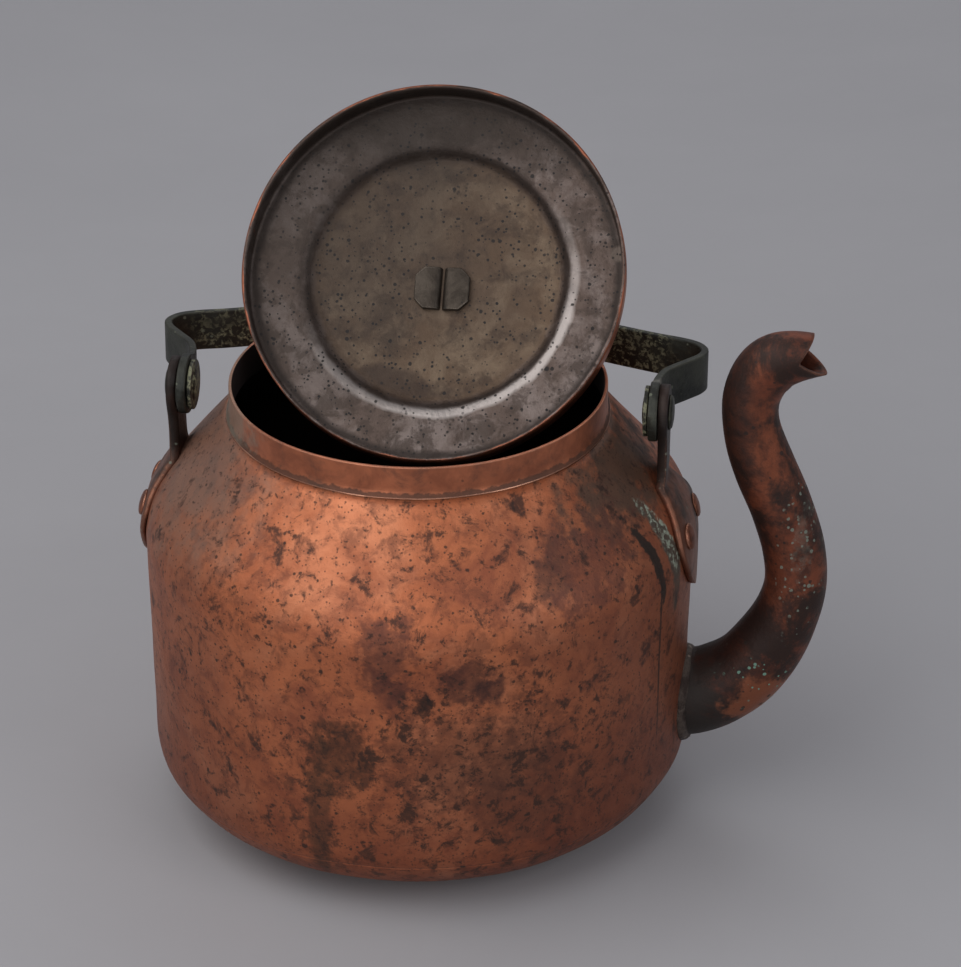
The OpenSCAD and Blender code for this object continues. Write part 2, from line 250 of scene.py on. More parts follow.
# Bare edges: 1 along edges and corners that hands and cloths keep rubbed, 0 on the flat.
rubbed, given, made = effect("Rubbed Edges", {"Reach": 0.001, "Amount": 0.5}, "Mask")
eased = add(rubbed, "Bevel", {"Radius": given["Reach"]}, samples=6)
true = add(rubbed, "NewGeometry")
match = add(rubbed, "VectorMath", {0: eased.outputs[0], 1: true.outputs["Normal"]}, operation="DOT_PRODUCT")
patches = add(rubbed, "TexNoise", {"Vector": add(rubbed, "TexCoord").outputs["Object"], "Scale": 120.0,
                                   "Detail": 5.0})
edge = add(rubbed, "MapRange", {"Value": match.outputs["Value"], "From Min": 0.995, "From Max": 0.93})
kept = add(rubbed, "Math", {0: patches.outputs["Fac"], 1: given["Amount"]}, operation="ADD")
kept_hard = add(rubbed, "MapRange", {"Value": kept.outputs[0], "From Min": 0.85, "From Max": 1.1})
both = add(rubbed, "Math", {0: edge.outputs[0], 1: kept_hard.outputs[0]}, operation="MULTIPLY")
rubbed.links.new(both.outputs[0], made["Mask"])

# Beaten sheet: soft facets of the planishing hammer, with a finer pitting on top.
beaten, given, made = effect("Beaten Sheet", {"Facet": 60.0, "Pitting": 500.0, "Depth": 0.5}, "Height")
place = add(beaten, "TexCoord").outputs["Object"]
facets = add(beaten, "TexNoise", {"Vector": place, "Scale": given["Facet"], "Detail": 1.0})
pits = add(beaten, "TexNoise", {"Vector": place, "Scale": given["Pitting"], "Detail": 5.0, "Roughness": 0.7})
height = add(beaten, "Math", {0: pits.outputs["Fac"], 1: given["Depth"], 2: facets.outputs["Fac"]},
             operation="MULTIPLY_ADD")
beaten.links.new(height.outputs[0], made["Height"])


def mask(tree, group, **inputs):
    """The output of an effect, with its inputs set."""
    node = add(tree, "Group", node_tree=group)
    for key, value in inputs.items():
        node.inputs[key].default_value = value
    return node.outputs[0]


def cloudy(tree, scale, amount, edge, shift=(0, 0, 0)):
    """Cloudy blotches of film."""
    return mask(tree, blotches, Scale=scale, Amount=amount, Edge=edge, Shift=shift)


def dots(tree, scale, size, share, shift=(0, 0, 0)):
    """Specks, pits and flecks."""
    return mask(tree, specks, Scale=scale, Size=size, Share=share, Shift=shift)


def spot(tree, centre, reach, ragged=0.6, grain=90.0, edge=0.25):
    """One ragged mark round centre."""
    return mask(tree, stain_and_painted_light, Centre=centre, Reach=reach, Ragged=ragged, Grain=grain, Edge=edge)


def bare(tree, reach, amount):
    """Edges and corners rubbed bare."""
    return mask(tree, rubbed, Reach=reach, Amount=amount)


def hammered(tree, facet, pitting, depth):
    """The beaten sheet's height, for a bump."""
    return mask(tree, beaten, Facet=facet, Pitting=pitting, Depth=depth)


def times(tree, *shares):
    """The product of several masks or plain shares."""
    product = shares[0]
    for share in shares[1:]:
        product = add(tree, "Math", {0: product, 1: share}, operation="MULTIPLY", use_clamp=True).outputs[0]
    return product


def finish(name, colour, roughness, metallic, films, bump=None):
    """A material: a ground, then films of (mask, colour, roughness, metallic) laid over each other in turn.
    films and bump are functions of the material's tree."""
    material = bpy.data.materials.new(name)
    material.use_nodes = True
    tree = material.node_tree
    shader = tree.nodes["Principled BSDF"]
    below = [colour + (1.0,), roughness, metallic]
    for cover, film_colour, film_roughness, film_metallic in films(tree):
        mixed = []
        for under, over in zip(below, [film_colour + (1.0,), film_roughness, film_metallic]):
            colourful = isinstance(over, tuple)
            a, b, out = (6, 7, 2) if colourful else (2, 3, 0)
            mixed.append(add(tree, "Mix", {0: cover, a: under, b: over},
                             data_type="RGBA" if colourful else "FLOAT").outputs[out])
        below = mixed
    for key, value in zip(("Base Color", "Roughness", "Metallic"), below):
        if isinstance(value, bpy.types.NodeSocket):
            tree.links.new(value, shader.inputs[key])
        else:
            shader.inputs[key].default_value = value
    if bump:
        height, distance, strength = bump(tree)
        relief = add(tree, "Bump", {"Height": height, "Distance": distance, "Strength": strength})
        tree.links.new(relief.outputs[0], shader.inputs["Normal"])
    return material


def grained(tree, grain, strength):
    """A film's strength, a little more than half of it between the grains."""
    return add(tree, "MapRange", {"Value": grain, "To Min": 0.55 * strength, "To Max": strength}).outputs[0]


def body_films(t):
    grain = cloudy(t, 190.0, 0.6, 0.2)

    def mark(x, y, z, wide, tall, strength, grain_size=110.0):
        """A ragged mark on the front of the body, broken up by the grain."""
        shape = spot(t, (x, y, z), (wide, 0.03, tall), 0.85, grain_size, 0.35)
        return times(t, shape, grained(t, grain, strength))

    return [
        (cloudy(t, 14.0, 0.42, 0.14), (0.44, 0.13, 0.055), 0.5, 0.6),
        (cloudy(t, 42.0, 0.38, 0.13, (4, 1, 0)), (0.31, 0.09, 0.044), 0.54, 0.55),
        (times(t, cloudy(t, 22.0, 0.36, 0.12, (9, 2, 5)), 0.8), (0.66, 0.25, 0.125), 0.4, 0.7),
        (times(t, cloudy(t, 130.0, 0.36, 0.08, (1, 6, 2)), 0.55), (0.14, 0.044, 0.026), 0.54, 0.5),
        # darker, redder copper low down and at both sides
        (times(t, spot(t, (0, 0, 0.0), (0.3, 0.3, 0.058), 0.25, 30.0, 0.6), 0.62), (0.17, 0.045, 0.024),
         0.52, 0.6),
        (times(t, spot(t, (0.098, -0.045, 0.06), (0.058, 0.08, 0.10), 0.3, 25.0, 0.6), 0.6),
         (0.14, 0.042, 0.025), 0.52, 0.6),
        (times(t, spot(t, (-0.092, -0.05, 0.075), (0.038, 0.08, 0.08), 0.4, 25.0, 0.6), 0.45),
         (0.17, 0.055, 0.032), 0.52, 0.6),
        # grey-brown film left on the shoulder
        (times(t, spot(t, (-0.080, -0.02, 0.152), (0.038, 0.055, 0.030), 0.45, edge=0.5), 0.6),
         (0.22, 0.17, 0.135), 0.5, 0.45),
        (times(t, spot(t, (0.080, -0.022, 0.155), (0.022, 0.040, 0.020), 0.8, edge=0.4), 0.8),
         (0.06, 0.048, 0.035), 0.55, 0.4),
        (times(t, spot(t, (0.098, -0.026, 0.124), (0.014, 0.0045, 0.022), 0.5), 0.9),
         (0.06, 0.058, 0.046), 0.7, 0.2),
        (times(t, spot(t, (0.096, -0.025, 0.130), (0.014, 0.004, 0.018), 0.6),
               cloudy(t, 420.0, 0.42, 0.05)), (0.28, 0.31, 0.24), 0.8, 0.0),
        # purple-brown marks on the front
        (mark(0.003, -0.103, 0.118, 0.009, 0.015, 0.75), (0.12, 0.045, 0.035), 0.5, 0.7),
        (mark(0.004, -0.105, 0.101, 0.006, 0.007, 0.7), (0.12, 0.045, 0.035), 0.5, 0.7),
        (mark(0.031, -0.100, 0.106, 0.010, 0.009, 0.85), (0.075, 0.032, 0.027), 0.5, 0.65),
        (mark(0.040, -0.096, 0.100, 0.006, 0.005, 0.8), (0.075, 0.032, 0.027), 0.5, 0.65),
        (mark(0.060, -0.070, 0.139, 0.006, 0.010, 0.8), (0.085, 0.042, 0.034), 0.5, 0.65),
        (mark(0.073, -0.060, 0.136, 0.014, 0.014, 0.75, 180.0), (0.15, 0.055, 0.04), 0.5, 0.7),
        (mark(0.016, -0.104, 0.096, 0.0035, 0.0045, 1.0, 250.0), (0.012, 0.008, 0.007), 0.6, 0.4),
        (times(t, spot(t, (0.097, -0.0385, 0.128), (0.05, 0.0022, 0.020), 1.1), 0.95),
         (0.022, 0.018, 0.014), 0.55, 0.45),
        # sooty smudges and a long drip down the front
        (mark(-0.014, -0.103, 0.072, 0.012, 0.015, 0.8, 160.0), (0.05, 0.026, 0.018), 0.55, 0.6),
        (mark(-0.023, -0.100, 0.046, 0.0045, 0.036, 0.75), (0.065, 0.034, 0.022), 0.55, 0.6),
        (mark(0.030, -0.098, 0.070, 0.030, 0.018, 0.55, 170.0), (0.085, 0.036, 0.026), 0.55, 0.6),
        (mark(0.050, -0.090, 0.060, 0.02, 0.03, 0.5, 160.0), (0.08, 0.034, 0.025), 0.55, 0.6),
        # the lapped seam beside the spout
        (times(t, spot(t, (0.0973, -0.0393, 0.092), (0.05, 0.0007, 0.045), 0.3, 300.0), 0.8),
         (0.03, 0.018, 0.014), 0.55, 0.5),
        (times(t, cloudy(t, 80.0, 0.25, 0.05, (2, 7, 3)), 0.85), (0.05, 0.022, 0.016), 0.55, 0.5),
        (times(t, cloudy(t, 240.0, 0.26, 0.06, (5, 3, 1)), 0.85), (0.04, 0.02, 0.015), 0.55, 0.5),
        # a thicker scatter of dark flecks low down in front
        (times(t, cloudy(t, 150.0, 0.36, 0.05, (3, 3, 8)), 0.9,
               spot(t, (0.03, -0.09, 0.055), (0.075, 0.06, 0.042), 0.6, edge=0.5)), (0.05, 0.024, 0.017),
         0.55, 0.5),
        (times(t, dots(t, 170.0, 0.2, 0.16), 0.85), (0.035, 0.02, 0.016), 0.6, 0.5),
        (times(t, dots(t, 420.0, 0.3, 0.3, (1, 0, 0)), 0.8), (0.045, 0.025, 0.018), 0.6, 0.5),
        (times(t, dots(t, 800.0, 0.36, 0.4, (7, 0, 0)), 0.7), (0.06, 0.03, 0.022), 0.6, 0.5),
    ]


def body_bump(t):
    return hammered(t, 45.0, 420.0, 0.3), 0.0014, 0.6


def soot_films(t):
    return [
        (cloudy(t, 60.0, 0.4, 0.15), (0.03, 0.018, 0.014), 0.6, 0.3),
    ]


def blacken_inside(piece):
    """Gives the faces that look towards the kettle's axis the dull black of the old lining, deepened to near
    black as painted shade for the inside of the body.
    """
    piece.data.materials.append(shaded_lining)
    for face in piece.data.polygons:
        out = Vector((face.center.x, face.center.y, 0))
        if face.normal.z > 0.5 and face.center.z < 0.02 or face.normal.dot(out.normalized()) < -0.25:
            face.material_index = 1


body_copper = finish("body copper", (0.58, 0.186, 0.08), 0.48, 0.65, body_films, body_bump)
# the lining is painted near black: partly its own dark colour, partly painted shade for the inside of the
# body
shaded_lining = finish("old lining", (0.014, 0.009, 0.008), 0.65, 0.2, soot_films)
body_wall.data.materials.append(body_copper)
blacken_inside(body_wall)
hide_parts("body_wall")
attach(body_wall, "kettle")

# ---- base pan ----
# A shallow round-edged pan that closes the body from below; its small flat is what the kettle stands on.
# It is soldered edge to edge with the wall and shares its worn copper.
lower = [Vector((0, 0))] + [p for p in side if p.y < SEAM_HEIGHT] + [seam]
lower.insert(1, Vector((0.02, 0)))
lower.insert(2, Vector((0.04, 0)))
pan_inside = inward(lower, SHEET)
pan_inside[0] = Vector((0, SHEET))
base_pan = lathe("base_pan_sheet", lower + pan_inside[::-1], shape=dented)
base_pan.data.materials.append(body_copper)
blacken_inside(base_pan)
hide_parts("base_pan")
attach(base_pan, "kettle")

# ---- neck band ----
# An upright ring of thinner copper on top of the shoulder; the lid caps it. A thin dark line of solder
# joins it to the body, and its rim is rubbed bright.
band = [(0.0702, 0.1637), (0.0728, 0.1636), (0.0724, 0.1644), (0.0719, 0.1653), (0.0716, 0.1663),
        (0.0715, 0.1675), (0.0715, 0.176), (0.0702, 0.176)]


def lumpy(p):
    """Lumps of solder along the band's foot, and a rim that isn't quite level."""
    wave = noise.noise(p * 60) * 0.0005 * smooth(p.z, 0.1637, 0.164) * smooth(0.168 - p.z, 0, 0.003)
    tilt = noise.noise(Vector((p.x, p.y, 0.5)) * 14) * 0.0006 * smooth(p.z, 0.168, 0.176)
    flat = Vector((p.x, p.y, 0)).normalized()
    return p + flat * (wave + tilt * 0.6) + Vector((0, 0, tilt))


neck_band = lathe("neck_band_ring", rounded(band, 0.0004, closed=True), shape=lumpy, closed=True, turns=256)


def neck_films(t):
    return [
        (cloudy(t, 40.0, 0.45, 0.12), (0.32, 0.11, 0.06), 0.44, 0.85),
        (times(t, cloudy(t, 70.0, 0.34, 0.1, (3, 3, 0)), 0.7), (0.14, 0.065, 0.045), 0.5, 0.7),
        (times(t, spot(t, (0, 0, 0.1642), (1, 1, 0.0016), 0.9, 170.0), 0.75), (0.05, 0.03, 0.022), 0.6,
         0.5),
        (times(t, spot(t, (-0.07, -0.02, 0.172), (0.02, 0.04, 0.012), 0.5), 0.6), (0.24, 0.22, 0.17), 0.5,
         0.4),
        (times(t, dots(t, 350.0, 0.25, 0.2), 0.6), (0.06, 0.035, 0.025), 0.6, 0.5),
        (bare(t, 0.0008, 0.7), (0.75, 0.38, 0.25), 0.3, 1.0),
    ]


def neck_bump(t):
    return hammered(t, 90.0, 600.0, 0.3), 0.0006, 0.5


neck_band.data.materials.append(finish("neck copper", (0.48, 0.16, 0.078), 0.44, 0.7, neck_films, neck_bump))
blacken_inside(neck_band)
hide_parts("neck_band")
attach(neck_band, "kettle")

# ---- spout ----
# A seamed copper tube bent to an S, thick at the root and drawn thin at the top, where it turns over into
# an open beak with two lips. It is soldered into a hole low in the wall.


def curve(points, steps):
    """A Catmull-Rom curve through points, with steps between neighbours."""
    result = []
    last = len(points) - 1
    for i in range(last):
        a, b, c, d = (Vector(points[j]) for j in (max(i - 1, 0), i, i + 1, min(i + 2, last)))
        for k in range(steps):
            t = k / steps
            result.append(0.5 * (2 * b + (c - a) * t + (2 * a - 5 * b + 4 * c - d) * t * t
                                 + (3 * b - a - 3 * c + d) * t ** 3))
    return result + [Vector(points[last])]


# Middle line (x, z) and outer diameter, in millimetres, from the root to beyond the lips
SPOUT = [(100, 46.4, 34), (108, 47.8, 33.8), (117, 52, 32.4), (129.5, 62.5, 29.6), (139.5, 79, 26.8),
         (144.8, 97, 24.4), (143.8, 114, 24), (138.6, 131, 24), (131.6, 148, 23.3), (126.4, 163, 22),
         (125.2, 175, 21.7), (128, 185, 21.5), (133.4, 191.4, 21.3), (141, 194.4, 19), (154, 196, 14)]
line = curve([Vector(p) * 0.001 for p in SPOUT], 16)


def spout_point(t, angle, depth):
    """A point of the tube's surface: t along the line, angle round it, depth inside the outer skin."""
    i = min(int(t), len(line) - 2)
    here = line[i].lerp(line[i + 1], t - i)
    step = (line[min(i + 2, len(line) - 1)] - line[max(i - 1, 0)]).normalized()
    middle = Vector((here.x, 0, here.y))
    across = Vector((-step.y, 0, step.x)).normalized()
    bump = noise.noise(middle * 45 + Vector((math.cos(angle), math.sin(angle), 0)) * 0.8) * 0.0007
    r = here.z / 2 - depth + bump
    return middle + across * (math.cos(angle) * r) + Vector((0, math.sin(angle) * r, 0))


def beyond_lips(p):
    """Positive where the beak is cut away: in front of two slanting planes that meet in a nick."""
    up = p.z - 0.1957
    return p.x - 0.1426 - (up * 0.643 if up > 0 else -up * 1.427)


def beyond_wall(p):
    """Positive outside the body, to which the tube's root is cut."""
    return math.hypot(p.x, p.y) - 0.1038


def crossing(test, low, high, angle, depth):
    """The place along the line, between low and high, where test turns positive."""
    for _ in range(24):
        middle = (low + high) / 2
        if test(spout_point(middle, angle, depth)) > 0:
            high = middle
        else:
            low = middle
    return low


SIDES = 72
LENGTHS = 150
TUBE_SHEET = 0.0014
tube = [[], []]
for layer, depth in enumerate((0, TUBE_SHEET)):
    spans = []
    for k in range(SIDES):
        a = 2 * math.pi * k / SIDES
        spans.append((a, crossing(beyond_wall, 0, 40, a, depth), crossing(beyond_lips, 190, 223.9, a, depth)))
    for row in range(LENGTHS + 1):
        share = row / LENGTHS
        tube[layer].append([spout_point(s + (e - s) * share, a, depth) for a, s, e in spans])
lip_middle = [outer.lerp(inner, 0.5) + Vector((0.0004, 0, 0))
              for outer, inner in zip(tube[0][-1], tube[1][-1])]
spout = skin("spout_tube", tube[0] + [lip_middle] + tube[1][::-1], ends=None)


def spout_films(t):
    grain = cloudy(t, 190.0, 0.6, 0.2)
    return [
        (cloudy(t, 30.0, 0.5, 0.14), (0.17, 0.048, 0.026), 0.5, 0.6),
        (cloudy(t, 40.0, 0.5, 0.07, (5, 0, 2)), (0.036, 0.017, 0.012), 0.55, 0.5),
        (times(t, cloudy(t, 110.0, 0.42, 0.1, (2, 0, 2)), 0.7), (0.035, 0.02, 0.017), 0.5, 0.6),
        # painted shade: darker on the inner bend, which faces the body and lies in its shade
        (times(t, spot(t, (0.112, 0, 0.085), (0.026, 0.05, 0.05), 0.4, edge=0.5), 0.85),
         (0.03, 0.018, 0.016), 0.5, 0.6),
        (times(t, spot(t, (0.118, 0, 0.160), (0.011, 0.05, 0.05), 0.4, edge=0.4), 0.75),
         (0.035, 0.02, 0.017), 0.5, 0.6),
        # blackened root
        (times(t, spot(t, (0.104, 0, 0.047), (0.017, 0.04, 0.03), 0.6, edge=0.4), 0.9),
         (0.028, 0.022, 0.019), 0.6, 0.4),
        (times(t, spot(t, (0.134, -0.012, 0.052), (0.014, 0.02, 0.010), 0.7), 0.75), (0.36, 0.125, 0.065),
         0.38, 0.9),
        # verdigris in the bends
        (times(t, dots(t, 560.0, 0.5, 0.5), 0.8,
               spot(t, (0.146, -0.008, 0.112), (0.007, 0.02, 0.026), 1.1)), (0.17, 0.20, 0.16), 0.8, 0.0),
        (times(t, grain, 0.25, spot(t, (0.147, -0.008, 0.120), (0.003, 0.02, 0.012), 1.2, 200.0)),
         (0.20, 0.22, 0.18), 0.8, 0.0),
        (times(t, dots(t, 520.0, 0.5, 0.45, (2, 0, 0)),
               spot(t, (0.130, -0.012, 0.062), (0.012, 0.02, 0.011), 1.1)), (0.14, 0.26, 0.20), 0.8, 0.0),
        (times(t, dots(t, 300.0, 0.3, 0.35, (3, 0, 0)), 0.8), (0.02, 0.014, 0.012), 0.6, 0.4),
        (bare(t, 0.0012, 0.6), (0.62, 0.27, 0.17), 0.34, 1.0),
    ]


def spout_bump(t):
    return hammered(t, 70.0, 450.0, 0.4), 0.001, 0.6


spout_copper = finish("spout copper", (0.26, 0.078, 0.038), 0.46, 0.65, spout_films, spout_bump)
spout.data.materials.append(spout_copper)
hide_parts("spout")
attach(spout, "kettle")

# ---- spout collar ----
# The thick fillet of hard solder and the turned-out edge of the tube that seal the root to the wall,
# black with soot and flux.
COLLAR_RADIUS = 0.0166
rings = []
for i in range(96):
    a = 2 * math.pi * i / 96
    out = Vector((0, math.cos(a), math.sin(a)))
    root = Vector((0, 0, ROOT_HEIGHT)) + out * COLLAR_RADIUS
    root.x = math.sqrt(0.1041 ** 2 - root.y ** 2) - 0.0006
    swell = 1 + 0.35 * noise.noise(root * 90)
    rings.append([root + Vector((0.0040 * swell * math.cos(b) * (1 if math.cos(b) > 0 else 0.3), 0, 0))
                  + out * (0.0026 * swell * math.sin(b)) for b in [2 * math.pi * k / 14 for k in range(14)]])
collar = skin("spout_collar_solder", rings, ends=None)


def collar_films(t):
    return [
        (cloudy(t, 120.0, 0.5, 0.1), (0.11, 0.085, 0.07), 0.55, 0.6),
        (dots(t, 400.0, 0.35, 0.3), (0.28, 0.22, 0.18), 0.5, 0.6),
    ]


def collar_bump(t):
    return hammered(t, 260.0, 900.0, 0.5), 0.0015, 0.9


collar_solder = finish("collar solder", (0.045, 0.03, 0.025), 0.55, 0.6, collar_films, collar_bump)
collar.data.materials.append(collar_solder)
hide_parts("spout_collar")
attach(collar, "kettle")

# ---- ears ----
# Two straps of thick copper, cut to a pointed spade that hugs the shoulder and rising as a flat bar to the
# handle's pivot. Each is held by two rivets side by side.
# Height and half width, in millimetres, from the point up
EAR_HALF = [(96.6, 0.6), (97.6, 3.4), (100, 6.9), (104, 11.5), (109.5, 16.6), (116, 21.2), (121.5, 23),
            (126, 21.8), (130, 18.9), (134, 15.2), (138.5, 11.5), (143, 9.2), (147, 8.2), (153, 8),
            (158, 8.2), (162, 9.2), (166, 10.4), (169, 10.5), (173, 9.5), (176, 7.4), (178, 4.6), (179, 1.2)]
# The strap's section: across (shares of the half width) and out (shares of the thickness)
EAR_SECTION = [(-1, 0), (-0.6, 0), (0, 0), (0.6, 0), (1, 0), (1, 0.75), (0.985, 0.93), (0.95, 1),
               (0.6, 1), (0, 1), (-0.6, 1), (-0.95, 1), (-0.985, 0.93), (-1, 0.75)]
BAR_REACH = 0.0915
ear_rows = curve([Vector(p) * 0.001 for p in EAR_HALF], 5)


def ear_shape(turn):
    """Rings of an ear's outline from the point up; turn is 0 for the spout's side and pi for the rear."""
    rings = []
    for row in ear_rows:
        z, half = row.x, max(row.y, 0.0003)
        bar = smooth(z, 0.1375, 0.1425)
        thick = 0.002 + 0.0015 * smooth(z, 0.132, 0.146)
        ring = []
        for u, lift in EAR_SECTION:
            y = u * half
            hug = math.sqrt((body_radius(z) + 0.0002) ** 2 - y * y)
            slope = 1 / math.cos(math.radians(40) * smooth(z, BEND_HEIGHT, 0.134))
            on_plate = hug + lift * thick * slope
            on_bar = BAR_REACH + lift * thick
            wave = noise.noise(Vector((turn, y * 40, z * 30))) * 0.0006
            x = on_plate * (1 - bar) + on_bar * bar + wave * smooth(z, 0.15, 0.165)
            ring.append(Matrix.Rotation(turn, 3, "Z") @ Vector((x, y, z)))
        rings.append(ring)
    return rings


def ear_films(t):
    return [
        (cloudy(t, 60.0, 0.5, 0.12), (0.07, 0.04, 0.03), 0.5, 0.7),
        (times(t, cloudy(t, 90.0, 0.4, 0.1, (1, 4, 0)), 0.8), (0.28, 0.11, 0.065), 0.42, 0.85),
        # the bars are almost black
        (times(t, spot(t, (0, 0, 0.168), (1, 1, 0.028), 0.25, edge=0.3), 0.92), (0.014, 0.011, 0.01),
         0.48, 0.5),
        (times(t, dots(t, 400.0, 0.3, 0.25), 0.6), (0.20, 0.24, 0.19), 0.7, 0.1),
        (times(t, bare(t, 0.0011, 0.62), spot(t, (0, 0, 0.105), (1, 1, 0.05), 0.2)), (0.62, 0.32, 0.22),
         0.34, 1.0),
    ]


def ear_bump(t):
    return hammered(t, 150.0, 700.0, 0.4), 0.0008, 0.6


ear_copper = finish("ear copper", (0.24, 0.10, 0.062), 0.44, 0.85, ear_films, ear_bump)
for name, turn in (("front", 0), ("rear", math.pi)):
    ear = skin("ear_" + name + "_strap", ear_shape(turn))
    ear.data.materials.append(ear_copper)
    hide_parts("ear_" + name)
    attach(ear, "kettle")

# ---- ear rivets ----
# Copper rivets with low hammered domes outside, driven through plate and wall and closed flat inside.
# Two sit side by side in the widest part of each ear.


def rivet_films(t):
    return [
        (cloudy(t, 160.0, 0.5, 0.14), (0.13, 0.055, 0.038), 0.46, 0.8),
        (bare(t, 0.0012, 0.55), (0.75, 0.38, 0.25), 0.35, 1.0),
    ]


def rivet_bump(t):
    return hammered(t, 300.0, 900.0, 0.4), 0.0006, 0.6


rivet_copper = finish("rivet copper", (0.32, 0.12, 0.07), 0.42, 0.9, rivet_films, rivet_bump)
RIVET_HEIGHT = 0.1225
RIVET_TURN = 0.1204
dome = [(0, -0.0028), (0.0036, -0.0028), (0.0042, -0.0021), (0.0042, -0.0015), (0.0024, -0.0015),
        (0.0024, 0.0016), (0.0046, 0.0017), (0.0050, 0.0020), (0.0049, 0.0025), (0.0044, 0.0030),
        (0.0034, 0.0034), (0.0018, 0.0037), (0, 0.0038)]
tilt = math.asin((RIVET_HEIGHT - BEND_HEIGHT) / BEND_ROUND)
reach = BEND_CENTRE + BEND_ROUND * math.cos(tilt)
for side_name, turn in (("front", 0), ("rear", math.pi)):
    for spot_name, sideways in (("left", -RIVET_TURN), ("right", RIVET_TURN)):
        rivet = lathe("rivet_" + side_name + "_" + spot_name, rounded(dome, 0.0004, steps=2), turns=32)
        rivet.matrix_world = (Matrix.Rotation(turn + sideways, 4, "Z")
                              @ Matrix.Translation((reach, 0, RIVET_HEIGHT))
                              @ Matrix.Rotation(math.pi / 2 - tilt, 4, "Y")
                              @ Matrix.Rotation(sideways * 9, 4, "Z")
                              @ Matrix.Diagonal((1.06, 0.95, 1, 1)))
        rivet.data.materials.append(rivet_copper)
        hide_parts("ear_rivet_" + side_name + "_" + spot_name)
        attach(rivet, "kettle")

# ---- handle ----
# A flat strap of bronze, folded out at two elbows and arched over the mouth, with a round-cornered eye at
# each end. Here it is folded back onto the shoulder. Green-black patina, with a crust on the bridge.
PIVOT = 0.1685
EYE_RADIUS = 0.0114
STRAP_WIDTH = 0.016
STRAP_THICKNESS = 0.003
FOLDED = math.radians(-93.2)
# Out from the middle and up from the pivot, in millimetres, from the eye's end to the crown
half_line = [(89.35, -11.4), (89.35, -4), (89.35, 4), (89.35, 13), (91.95, 22.5), (98.55, 31.5),
             (103.55, 38.5), (104.55, 44.5), (101.15, 50), (94.35, 53.4), (85, 56.2), (72, 61.2),
             (58, 67.2), (44, 73.2), (30, 78.2), (15, 81.8), (0, 83)]
arm = curve([Vector(p) * 0.001 for p in half_line], 7)
strap_line = arm + [Vector((-p.x, p.y)) for p in arm[-2::-1]]


def section(width, thick, corner=0.0009):
    """A flat strap's round-cornered section: (across, through) points."""
    w, t = width / 2, thick / 2
    corners = [(-w, -t), (0, -t), (w, -t), (w, 0), (w, t), (0, t), (-w, t), (-w, 0)]
    return rounded(corners, corner, 3, closed=True)


rings = []
run = 0
total = sum((b - a).length for a, b in zip(strap_line, strap_line[1:]))
for i, p in enumerate(strap_line):
    run += (p - strap_line[i - 1]).length if i else 0
    along = (strap_line[min(i + 1, len(strap_line) - 1)] - strap_line[max(i - 1, 0)]).normalized()
    from_end = min(run, total - run)
    width = STRAP_WIDTH + 0.0066 * (1 - smooth(from_end, 0.012, 0.024))
    width *= math.sqrt(max(0.06, 1 - (1 - min(1, from_end / EYE_RADIUS)) ** 2))
    thick = STRAP_THICKNESS + 0.0005 * (1 - smooth(from_end, 0.014, 0.022))
    wave = noise.noise(Vector((p.x, p.y, 0)) * 30) * 0.0005 * smooth(from_end, 0.024, 0.04)
    rings.append([Vector((p.x - along.y * (thin + wave), across, p.y + along.x * (thin + wave)))
                  for across, thin in section(width, thick)])
strap = skin("handle_strap", rings)
strap.matrix_world = Matrix.Translation((0, 0, PIVOT)) @ Matrix.Rotation(FOLDED, 4, "X")


def strap_films(t):
    return [
        (cloudy(t, 50.0, 0.5, 0.12), (0.018, 0.02, 0.017), 0.46, 0.5),
        (times(t, cloudy(t, 45.0, 0.42, 0.12, (1, 8, 0)), 0.8), (0.055, 0.058, 0.045), 0.5, 0.5),
        # yellow-green and whitish crust on the bridge
        (times(t, cloudy(t, 420.0, 0.42, 0.05, (1, 1, 4)),
               spot(t, (0, 0, 0.068), (0.101, 1, 0.024), 0.3)), (0.24, 0.24, 0.15), 0.75, 0.1),
        (times(t, dots(t, 330.0, 0.25, 0.2, (4, 0, 0)), 0.6), (0.20, 0.22, 0.16), 0.8, 0.0),
        (times(t, spot(t, (0.0905, -0.006, 0.004), (0.004, 0.005, 0.009), 0.5), 0.9), (0.34, 0.32, 0.27),
         0.36, 0.9),
        (bare(t, 0.0009, 0.5), (0.17, 0.15, 0.11), 0.38, 0.9),
    ]


def strap_bump(t):
    return hammered(t, 120.0, 600.0, 0.5), 0.0009, 0.6


handle_bronze = finish("handle bronze", (0.026, 0.026, 0.022), 0.45, 0.65, strap_films, strap_bump)
strap.data.materials.append(handle_bronze)
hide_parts("handle")
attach(strap, "handle")

# ---- pivot rivets and washers ----
# A stout rivet through each ear is the handle's pivot, with a low head at one end and a closed dome at the
# other. The washer keeps the handle's eye off the ear. Both stay with the ear while the handle turns.
pin = [(0, 0.0848), (0.003, 0.0849), (0.0052, 0.0852), (0.0064, 0.0857), (0.0064, 0.0861), (0.004, 0.0861),
       (0.004, 0.095), (0.0066, 0.095), (0.0067, 0.0956), (0.0056, 0.0964), (0.003, 0.0968), (0, 0.0969)]
ring = [(0.004, 0.0857), (0.0096, 0.0857), (0.0096, 0.0872), (0.004, 0.0872)]
for name, turn in (("front", 0), ("rear", math.pi)):
    at_pivot = (Matrix.Rotation(turn, 4, "Z") @ Matrix.Translation((0, 0, PIVOT))
                @ Matrix.Rotation(math.pi / 2, 4, "Y"))
    pivot = lathe("pivot_rivet_" + name + "_pin", rounded(pin, 0.0003, steps=2), turns=48)
    washer = lathe("pivot_washer_" + name + "_ring", rounded(ring, 0.0003, closed=True), turns=48,
                   closed=True)
    for piece, node in ((pivot, "pivot_rivet_" + name), (washer, "pivot_washer_" + name)):
        piece.matrix_world = at_pivot
        piece.data.materials.append(handle_bronze)
        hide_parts(node)
        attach(piece, "kettle")

